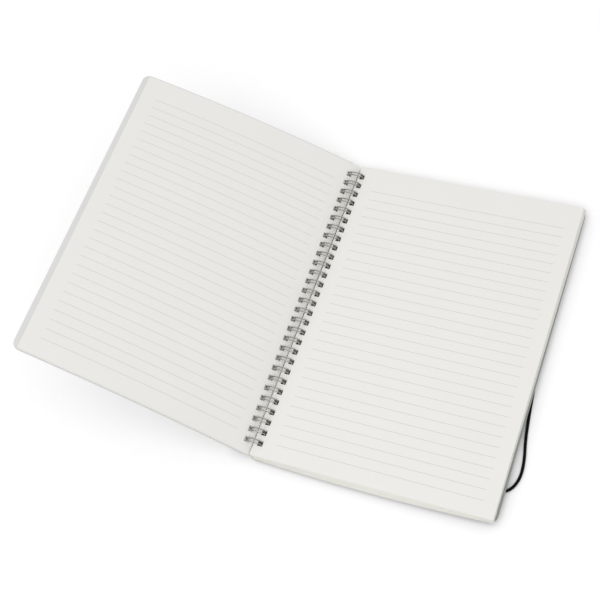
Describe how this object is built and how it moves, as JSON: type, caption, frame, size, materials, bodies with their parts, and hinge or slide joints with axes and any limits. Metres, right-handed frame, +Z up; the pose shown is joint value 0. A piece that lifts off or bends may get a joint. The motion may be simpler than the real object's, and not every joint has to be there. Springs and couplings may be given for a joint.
{
  "type": "open spiral notebook",
  "caption": "Open ruled notebook lying face up on a wire-loop spine, with a page block, turned leaves, plastic covers that hinge on the wire, and a slack elastic closure.",
  "frame": {"origin": "centre of the base of the sheets and wire, on the ground plane the notebook lies on", "axes": "+X across the spine towards the page block's fore-edge, +Y along the spine towards the top of the pages, +Z up"},
  "size_m": [0.3556, 0.259, 0.0936],
  "materials": {
    "paper": "matte",
    "cover_plastic": "frosted",
    "back_cover_plastic": "smoky grey, frosted",
    "wire": "polished nickel",
    "rivet": "satin black",
    "elastic": "braided"
  },
  "bodies": {
    "pages": {"page_block": "paper", "twin_loop_wire": "wire"},
    "front": {"front_cover": "cover_plastic", "turned_leaves": "paper"},
    "back": {"back_cover": "back_cover_plastic", "elastic_rivet_bottom": "rivet", "elastic_rivet_top": "rivet", "elastic_cord": "elastic"}
  },
  "joints": [
    {"name": "front_cover_hinge", "type": "hinge", "parent": "pages", "child": "front", "pos_m": [-0.00954, 0, 0.00682], "axis": [0, -1, 0], "range_deg": [-151.2, 30]},
    {"name": "back_cover_hinge", "type": "hinge", "parent": "pages", "child": "back", "pos_m": [-0.00954, 0, 0.00682], "axis": [0, 1, 0], "range_deg": [0, 45]}
  ]
}
